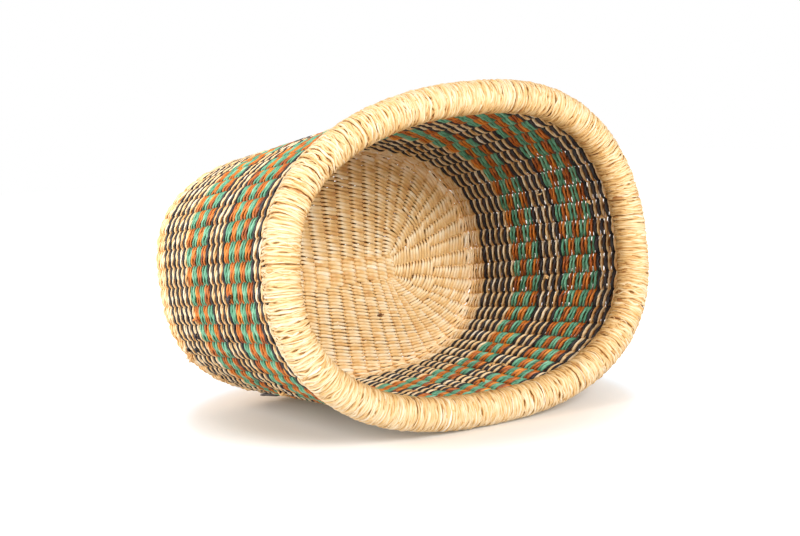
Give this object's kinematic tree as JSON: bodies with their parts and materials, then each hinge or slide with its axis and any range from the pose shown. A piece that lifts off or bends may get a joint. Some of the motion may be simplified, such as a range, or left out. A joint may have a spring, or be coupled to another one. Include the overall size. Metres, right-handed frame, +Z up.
{
  "type": "oval basket",
  "caption": "Oval open basket of twined grass with black, natural, green and orange bands, a flat base and a thick wrapped rim, without handles.",
  "frame": {"origin": "on the base's underside, below the middle of the rim roll's outline", "axes": "+Z up out of the mouth, +X along the mouth's long way, +Y across it"},
  "size_m": [0.3576, 0.2598, 0.2356],
  "materials": {
    "natural_grass": "dry natural grass, twisted strand, matt with a faint sheen",
    "pale_grass": "pale straw wrap, close turns, faint sheen",
    "black_grass": "grass dyed near black, matt",
    "green_grass": "grass dyed sea green, matt",
    "orange_grass": "grass dyed burnt orange, matt",
    "stake_grass": "stiff natural grass stake, mostly hidden"
  },
  "bodies": {
    "root": {"base_weave_inside": "natural_grass", "base_weave_under": "natural_grass", "foot_weave_inside": "natural_grass", "foot_weave_outside": "natural_grass", "lower_check_inside": "orange_grass", "lower_check_row_1": "green_grass", "lower_check_row_2": "orange_grass", "lower_check_row_3": "green_grass", "lower_check_row_4": "orange_grass", "lower_stripe_black_1": "black_grass", "lower_stripe_black_2": "black_grass", "lower_stripe_black_3": "black_grass", "lower_stripe_black_4": "black_grass", "lower_stripe_black_5": "black_grass", "lower_stripe_inside": "natural_grass", "lower_stripe_natural_1": "natural_grass", "lower_stripe_natural_2": "natural_grass", "lower_stripe_natural_3": "natural_grass", "lower_stripe_natural_4": "natural_grass", "lower_stripe_natural_5": "natural_grass", "middle_stripe_black_1": "black_grass", "middle_stripe_black_2": "black_grass", "middle_stripe_black_3": "black_grass", "middle_stripe_black_4": "black_grass", "middle_stripe_inside": "natural_grass", "middle_stripe_natural_1": "natural_grass", "middle_stripe_natural_2": "natural_grass", "middle_stripe_natural_3": "natural_grass", "rim_binding": "pale_grass", "rim_core": "natural_grass", "stakes": "stake_grass", "top_natural_inside": "natural_grass", "top_natural_row_1": "natural_grass", "top_natural_row_2": "natural_grass", "upper_check_inside": "green_grass", "upper_check_row_1": "green_grass", "upper_check_row_2": "orange_grass", "upper_check_row_3": "green_grass", "upper_check_row_4": "orange_grass", "upper_check_row_5": "green_grass", "upper_stripe_black_1": "black_grass", "upper_stripe_black_2": "black_grass", "upper_stripe_black_3": "black_grass", "upper_stripe_inside": "natural_grass", "upper_stripe_natural_1": "natural_grass", "upper_stripe_natural_2": "natural_grass"}
  },
  "joints": []
}
